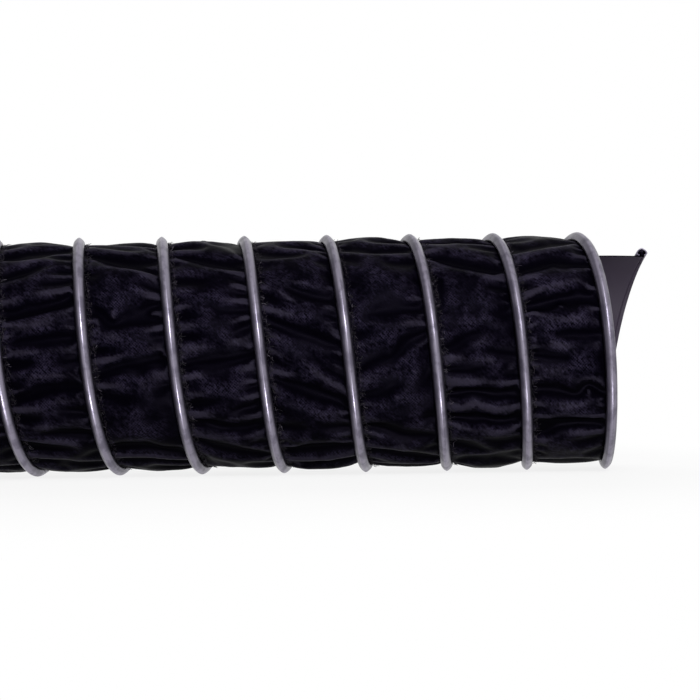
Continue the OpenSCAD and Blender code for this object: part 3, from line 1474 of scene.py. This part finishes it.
@dataclass
class ClothGrid:
    """A wound grid of cloth, ready to be cut into pieces with a thickness.

    CREASE and RIDGE say how broad and how fine relief is found: how often the cloth is softened
    before it is compared, how often what it is compared with is, and what a millimetre counts.
    """

    CREASE: ClassVar[tuple[int, int, float]] = (2, 24, 0.55)
    RIDGE: ClassVar[tuple[int, int, float]] = (0, 3, 1.75)

    cloth: Cloth
    s: np.ndarray
    w: np.ndarray
    moved: np.ndarray
    radius: np.ndarray
    twist: np.ndarray

    def __post_init__(self) -> None:
        """Works out the places, normals and runs of all the points."""
        winding, pitch = self.cloth.winding, self.cloth.winding.pitch
        still = self.cloth.still_width
        x = pitch * self.w / TURN + self.s + self.moved
        self.points = winding.lean(winding.place(x, self.radius, self.w + self.twist))
        web = np.clip((self.s - still) / (pitch - 2 * still), 0, 1)
        self.run = pitch * self.w / TURN + pitch * web
        along = np.gradient(self.points, axis=0)
        across = np.gradient(self.points, axis=1)
        normal = np.cross(along, across)
        self.normals = normal / np.linalg.norm(normal, axis=-1, keepdims=True)
        in_hem = self._near() < self.cloth.hem_s + TINY
        at_corner = (self.radius == self.cloth.foot_r) & in_hem
        self.mitre = np.where(at_corner, math.sqrt(2), 1.0)
        self.crease = self._raised(*self.CREASE)
        self.ridge = self._raised(*self.RIDGE)
        length = np.radians(self.w) * winding.bore_r
        self.strip = np.stack([self.s, length, np.zeros_like(length)], -1)

    def _near(self) -> np.ndarray:
        """Gives the distance of each point from the nearer edge of the strip."""
        return np.minimum(self.s, np.round(self.cloth.winding.pitch - self.s, DIGITS))

    def _raised(self, near: int, far: int, strength: float) -> np.ndarray:
        """Gives 0.5 on flat cloth, more where it stands out and less in hollows.

        Args:
            near: How often the cloth is softened before it is compared.
            far: How often what it is compared with is softened.
            strength: How much a millimetre of height counts.

        Returns:
            Numbers from 0 to 1.
        """
        height = blurred(self.radius, near) - blurred(self.radius, far)
        return np.clip(0.5 + height * strength, 0, 1)

    def piece(self, name: str, run: tuple[float, float]) -> bpy.types.Object | None:
        """Cuts out the cloth whose run is between two places.

        Args:
            name: The piece's name.
            run: Where it begins and ends.

        Returns:
            A closed mesh, or None where no cloth is there.
        """
        rows, columns = self.s.shape
        index = np.arange(rows * columns).reshape(rows, columns)
        quads = self.cloth.quads(index)
        middle = self.run.ravel()[quads].mean(1)
        quads = quads[(middle >= run[0]) & (middle < run[1])]
        if not len(quads):
            return None
        used, flat = np.unique(quads, return_inverse=True)
        quads = flat.reshape(-1, 4)
        return self._thick(name, used, quads)

    def _thick(self, name: str, used: np.ndarray, quads: np.ndarray) -> bpy.types.Object:
        """Gives a patch of the grid its thickness.

        Args:
            name: The piece's name.
            used: The grid points that it has.
            quads: Its faces, as places in used.

        Returns:
            The closed piece with its normals, attributes and two materials.
        """
        count = len(used)
        half = self.cloth.thickness / 2
        points = self.points.reshape(-1, 3)[used]
        normals = self.normals.reshape(-1, 3)[used]
        offset = half * self.mitre.ravel()[used][:, None] * normals
        both = np.concatenate([points + offset, points - offset]) * MM
        walls = self._walls(quads, count)
        faces = np.concatenate([quads, quads[:, ::-1] + count, walls])
        mesh = bpy.data.meshes.new(name)
        mesh.from_pydata(both.tolist(), [], faces.tolist())
        finishes = self.cloth.finishes
        for material in (finishes.cloth, finishes.lining):
            mesh.materials.append(material)
        side = np.repeat([0, 1, 0], [len(quads), len(quads), len(walls)])
        mesh.polygons.foreach_set("material_index", side.astype(np.int32))
        self._set_normals(mesh, normals, faces, len(quads))
        for label in ("run", "crease", "ridge"):
            values = getattr(self, label).ravel()[used]
            write_floats(mesh, label, np.concatenate([values, values]))
        strip = self.strip.reshape(-1, 3)[used]
        write_floats(mesh, "strip", np.concatenate([strip, strip]))
        write_floats(mesh, "fray", np.concatenate([self._fray(used), np.zeros(count)]))
        return new_object(name, mesh)

    @staticmethod
    def _walls(quads: np.ndarray, count: int) -> np.ndarray:
        """Closes the rim between the two sides of a patch.

        Args:
            quads: The outer side's faces.
            count: How many points each side has.

        Returns:
            A face for each edge of the rim.
        """
        edges = np.concatenate([quads[:, [i, (i + 1) % 4]] for i in range(4)])
        keys = edges[:, 0].astype(np.int64) * count + edges[:, 1]
        mirrored = edges[:, 1].astype(np.int64) * count + edges[:, 0]
        rim = edges[~np.isin(keys, mirrored)]
        return np.stack([rim[:, 1], rim[:, 0], rim[:, 0] + count, rim[:, 1] + count], 1)

    def _fray(self, used: np.ndarray) -> np.ndarray:
        """Marks the band beside the clip where the weave has frayed.

        Args:
            used: The grid points asked for.

        Returns:
            1 in the band and 0 elsewhere.
        """
        s = self.s.ravel()[used]
        low, high = self.cloth.frayed_band
        return ((s > low) & (s < high)).astype(float)

    @staticmethod
    def _set_normals(
        mesh: bpy.types.Mesh, normals: np.ndarray, faces: np.ndarray, sheets: int
    ) -> None:
        """Shades a piece as part of the whole strip, so that no cut shows.

        Args:
            mesh: The piece.
            normals: The outer face's normals.
            faces: All its faces.
            sheets: How many of them are on each side, before the walls.
        """
        smooth = np.concatenate([normals, -normals])
        walls = read_points(mesh)[faces[2 * sheets:]]
        facing = np.cross(walls[:, 1] - walls[:, 0], walls[:, 3] - walls[:, 0])
        facing /= np.maximum(np.linalg.norm(facing, axis=1, keepdims=True), TINY**2)
        on_sides = smooth[faces[: 2 * sheets]].reshape(-1, 3)
        corners = np.concatenate([on_sides, np.repeat(facing, 4, 0)])
        mesh.polygons.foreach_set("use_smooth", np.ones(len(faces), bool))
        mesh.normals_split_custom_set(corners.tolist())


@dataclass
class Threads:
    """Ends of the weave that have frayed loose beside the clip.

    Lengths are in metres. A thread is a bow from its foot. Its middle is given as shares of its
    length along the cloth, across it and upwards. Its end is given in the same way, but for its
    height, which is the thread's own thickness.
    """

    finishes: Finishes
    per_m2: float = 1.1e6
    frayed_above: float = 0.9
    length: float = 0.0018
    thickness: float = 0.00020
    middle: Triple = (0.5, 0.0, 0.3)
    end: Band = (1.0, 0.25)
    least_turn: Triple = (-0.35, -0.5, 0.0)
    most_turn: Triple = (0.35, 0.1, 2 * math.pi)
    least_size: float = 0.4
    most_size: float = 1.2
    bends: int = 4
    sides: int = 3
    tone_seed: int = 11
    turn_seed: int = 5
    size_seed: int = 3

    def __post_init__(self) -> None:
        """Builds the tree that scatters them."""
        self.tree = self._tree()

    def grow(self, cloth: bpy.types.Object, zone: Zone, seed: int) -> bpy.types.Object:
        """Grows one zone's threads on its cloth.

        Args:
            cloth: The zone's cloth, before it is hung.
            zone: The zone.
            seed: What the scatter starts from.

        Returns:
            The threads, hung in the zone.
        """
        values = {"Seed": seed, "Material": self.finishes.thread}
        piece = self.tree.run("threads_" + zone.name, cloth.data.copy(), values)
        zone.hang(piece)
        return piece

    def _tree(self) -> GeometryTree:
        """Builds the tree.

        Returns:
            The tree, which scatters points in the frayed band and grows a thread on each.
        """
        t = GeometryTree(
            "frayed_threads",
            {
                "Density": self.per_m2, "Seed": 0, "Length": self.length,
                "Thickness": self.thickness, "Material": "Material",
            },
        )
        fray = t.get(
            "GeometryNodeInputNamedAttribute", {"data_type": "FLOAT"}, {"Name": "fray"}, "Attribute"
        )
        scatter = t.add(
            "GeometryNodeDistributePointsOnFaces", {},
            {
                "Mesh": t.entry.outputs["Geometry"], "Selection": fray.above(self.frayed_above),
                "Density": t.size("Density"), "Seed": t.size("Seed"),
            },
        )
        a_number = {"data_type": "FLOAT"}
        tone = t.get("FunctionNodeRandomValue", a_number, {"Seed": self.tone_seed}, 1)
        toned = t.get(
            "GeometryNodeStoreNamedAttribute", {**a_number, "domain": "POINT"},
            {"Geometry": scatter.outputs["Points"], "Name": "tone", "Value": tone},
        )
        turn = t.get(
            "FunctionNodeRandomValue", {"data_type": "FLOAT_VECTOR"},
            {0: self.least_turn, 1: self.most_turn, "Seed": self.turn_seed},
        )
        spin = t.get("FunctionNodeEulerToRotation", {}, {0: turn})
        facing = t.get(
            "FunctionNodeRotateRotation", {"rotation_space": "LOCAL"},
            {0: scatter.outputs["Rotation"], 1: spin},
        )
        size = t.get(
            "FunctionNodeRandomValue", a_number,
            {2: self.least_size, 3: self.most_size, "Seed": self.size_seed}, 1,
        )
        placed = t.get(
            "GeometryNodeInstanceOnPoints", {},
            {"Points": toned, "Instance": self._thread(t), "Rotation": facing, "Scale": size},
        )
        t.close(placed)
        return t

    def _thread(self, t: GeometryTree) -> Value:
        """Gives one thread, with its foot where it is put.

        Args:
            t: The tree.

        Returns:
            Its closed mesh.
        """
        length, thick = t.size("Length"), t.size("Thickness")
        middle = t.vector(*(length * part for part in self.middle))
        end = t.vector(*(length * part for part in self.end), thick)
        values = {"Resolution": self.bends, "Start": (0.0, 0.0, 0.0), "Middle": middle, "End": end}
        line = t.get("GeometryNodeCurveQuadraticBezier", {}, values)
        values = {"Resolution": self.sides, "Radius": thick / 2}
        ring = t.get("GeometryNodeCurvePrimitiveCircle", {}, values)
        values = {"Curve": line, "Profile Curve": ring, "Fill Caps": True}
        return t.get("GeometryNodeCurveToMesh", {}, values)


# ---- The studio ---------------------------------------------------------------------------------


class Reach(Enum):
    """What a lamp's light is seen in: diffuse light and reflections."""

    BOTH = (True, True)
    DIFFUSE = (True, False)
    REFLECTED = (False, True)


@dataclass(frozen=True)
class Lamp:
    """A soft rectangular lamp that the camera doesn't see."""

    name: str
    azimuth: float
    elevation: float
    size: Band
    level: float
    reach: Reach
    distance: float = 1.1

    def light(self, target: Vector, floor: bpy.types.Object) -> None:
        """Hangs the lamp.

        Args:
            target: What it points at. Level is the share of white that it alone gives there to
                a white surface which faces it.
            floor: The floor, which a lamp from below shines through as through opal glass.
        """
        lamp = bpy.data.lights.new(self.name, "AREA")
        lamp.shape = "RECTANGLE"
        lamp.size, lamp.size_y = self.size
        lamp.energy = self.level * math.pi**2 * self.distance**2
        holder = bpy.data.objects.new(self.name, lamp)
        bpy.context.scene.collection.objects.link(holder)
        azimuth, elevation = math.radians(self.azimuth), math.radians(self.elevation)
        out = Vector((
            math.sin(azimuth) * math.cos(elevation),
            -math.cos(azimuth) * math.cos(elevation),
            math.sin(elevation),
        ))
        holder.location = target + out * self.distance
        holder.rotation_euler = out.to_track_quat("Z", "Y").to_euler()
        holder.visible_camera = False
        holder.visible_diffuse, holder.visible_glossy = self.reach.value
        if self.elevation < 0:
            self._shine_through(holder, floor)

    def _shine_through(self, holder: bpy.types.Object, floor: bpy.types.Object) -> None:
        """Lets the lamp shine through the floor.

        Args:
            holder: The lamp.
            floor: The floor, which then blocks none of its light.
        """
        let_through = bpy.data.collections.new(self.name + "_not_blocked_by")
        let_through.objects.link(floor)
        holder.light_linking.blocker_collection = let_through
        let_through.collection_objects[0].light_linking.link_state = "EXCLUDE"


@dataclass
class Studio:
    """The floor, the light and the camera."""

    LAMPS: ClassVar[tuple[Lamp, ...]] = (
        Lamp("front_strip", 14.0, 30.0, (0.6, 0.10), 0.55, Reach.BOTH),
        Lamp("front_box", 8.0, 38.0, (0.6, 1.0), 0.34, Reach.BOTH),
        Lamp("back_box", 176.0, 35.0, (0.6, 1.0), 0.60, Reach.DIFFUSE),
        Lamp("card_above", 14.0, 31.0, (0.6, 0.16), 0.36, Reach.REFLECTED),
        Lamp("card_below", 20.0, -40.0, (0.6, 0.16), 1.00, Reach.REFLECTED),
    )
    MIDDLE: ClassVar[Vector] = (CAD_BOX[0] + CAD_BOX[1]) / 2

    winding: Winding
    sky_level: float = 0.14
    floor_white: float = 0.95
    floor_share: float = 0.16
    shadow_reach: Band = (0.20, 0.32)
    floor_size: float = 6.0
    floor_gap: float = 0.1
    camera_right: float = 110.80
    camera_back: float = 765.5
    focal_px: float = 1644.1
    frame_px: float = 700.0
    sensor_mm: float = 36.0
    nearest_m: float = 0.01
    yaw: float = 0.0189
    pitch_up: float = 0.0021
    roll: float = 0.0123

    def build(self) -> None:
        """Sets everything up round the duct."""
        self._camera()
        self._world()
        floor = self._floor()
        for lamp in self.LAMPS:
            lamp.light(self.MIDDLE, floor)
        bpy.context.scene.view_settings.view_transform = "Standard"

    def _camera(self) -> None:
        """Sets the camera in front of the duct, turned slightly to its right."""
        data = bpy.data.cameras.new("camera")
        data.sensor_width = self.sensor_mm
        data.lens = data.sensor_width * self.focal_px / self.frame_px
        data.clip_start = self.nearest_m
        camera = bpy.data.objects.new("camera", data)
        bpy.context.scene.collection.objects.link(camera)
        x = self.winding.top(self.winding.first_loose + 1) + self.camera_right
        turned = Matrix.Rotation(-self.yaw, 4, "Z") @ Matrix.Rotation(
            math.pi / 2 + self.pitch_up, 4, "X"
        )
        place = Matrix.Translation(Vector((x, -self.camera_back, 0)) * MM)
        camera.matrix_world = place @ turned @ Matrix.Rotation(-self.roll, 4, "Z")
        bpy.context.scene.camera = camera

    def _world(self) -> None:
        """Makes plain sky light that looks white to the camera and in reflections."""
        world = bpy.data.worlds.new("sky")
        bpy.context.scene.world = world
        world.use_nodes = True
        nodes = Nodes(world.node_tree)
        seen = self._seen(nodes)
        level = self.sky_level + (1 - self.sky_level) * seen
        background = world.node_tree.nodes["Background"]
        background.inputs["Color"].default_value = WHITE
        nodes.tree.links.new(level.socket, background.inputs["Strength"])

    @staticmethod
    def _seen(nodes: Nodes) -> Value:
        """Tells what is seen from what only lights.

        Args:
            nodes: The nodes of the world or of a material.

        Returns:
            1 for what the camera sees straight, in metal or through glass.
        """
        path = nodes.add("ShaderNodeLightPath", {}, {})
        rays = ("Is Camera Ray", "Is Glossy Ray", "Is Transmission Ray")
        camera, glossy, through = (Value(nodes, path.outputs[ray]) for ray in rays)
        return (camera + glossy + through).clamped()

    def _floor(self) -> bpy.types.Object:
        """Lays a white floor under the duct, which keeps a soft shadow.

        Returns:
            The floor.
        """
        half = self.floor_size / 2
        height = CAD_BOX[0].z - self.floor_gap * MM
        corners = [(x * half, y * half, height) for x, y in ((-1, -1), (1, -1), (1, 1), (-1, 1))]
        mesh = bpy.data.meshes.new("floor")
        mesh.from_pydata(corners, [], [(0, 1, 2, 3)])
        mesh.materials.append(self._floor_paint())
        floor = new_object("floor", mesh)
        return floor

    def _floor_paint(self) -> bpy.types.Material:
        """Makes the floor's material.

        Returns:
            White that glows where it is seen, but for the shadow under the duct.
        """
        white = {"Base Color": rgba((self.floor_white,) * 3), "Roughness": 1.0}
        paint = Paint("white_floor", {**white, "Specular IOR Level": 0.0})
        glow = paint.get("ShaderNodeEmission", {}, {"Color": WHITE, "Strength": 1.0})
        where = paint.get("ShaderNodeTexCoord", {}, {}, "Object")
        settings, values = {"operation": "DISTANCE"}, {0: where, 1: self.MIDDLE}
        away = paint.get("ShaderNodeVectorMath", settings, values, "Value")
        lit = self.floor_share * (1 - away.ramp(*self.shadow_reach))
        values = {0: self._seen(paint) * (1 - lit), 1: paint.shader.outputs[0], 2: glow}
        mixed = paint.get("ShaderNodeMixShader", {}, values)
        output = paint.tree.nodes["Material Output"]
        paint.tree.links.new(mixed.socket, output.inputs["Surface"])
        return paint.material


# ---- Assembly -----------------------------------------------------------------------------------


@dataclass
class Duct:
    """The whole duct."""

    winding: Winding
    finishes: Finishes

    def build(self) -> None:
        """Makes every piece and hangs it on its body."""
        zones = zones_of(self.winding)
        clips = Clip(self.winding, self.finishes).build(zones)
        cloth = Cloth(self.winding, self.finishes)
        grid = cloth.strip()
        threads = Threads(self.finishes)
        for number, zone in enumerate(zones):
            piece = grid.piece("cloth_" + zone.name, (zone.start, zone.end))
            threads.grow(piece, zone, number)
            self._finish_cloth(piece, zone, cloth)
        for end, zone in ((End.INLET, zones[0]), (End.OUTLET, zones[-1])):
            margin = cloth.margin_grid(end)
            piece = margin.piece("margin_" + zone.name, (zone.start, zone.end))
            zone.hang(piece)
            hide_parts("trimmed_hem_" + zone.name)

    def _finish_cloth(
        self, piece: bpy.types.Object, zone: Zone, cloth: Cloth
    ) -> None:
        """Hangs a piece of cloth in its zone and hides the cloth nodes that it stands for.

        Args:
            piece: The piece.
            zone: The zone that it is in.
            cloth: The cloth that it is cut from.
        """
        zone.hang(piece)
        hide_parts(*zone.cloth_nodes)
        flat = cloth.flat_size(zone)


def main() -> None:
    """Builds the duct and its studio, piece by piece."""
    logging.basicConfig(level=logging.INFO, format="%(name)s: %(message)s")
    winding = Winding.from_frame()
    pitch, turns, bore_r = winding.pitch, winding.turns, winding.bore_r
    LOG.info("pitch %.1f mm, %d turns, bore radius %.1f mm", pitch, turns, bore_r)
    Studio(winding).build()
    Duct(winding, Finishes.make()).build()


if __name__ == "__main__":
    main()
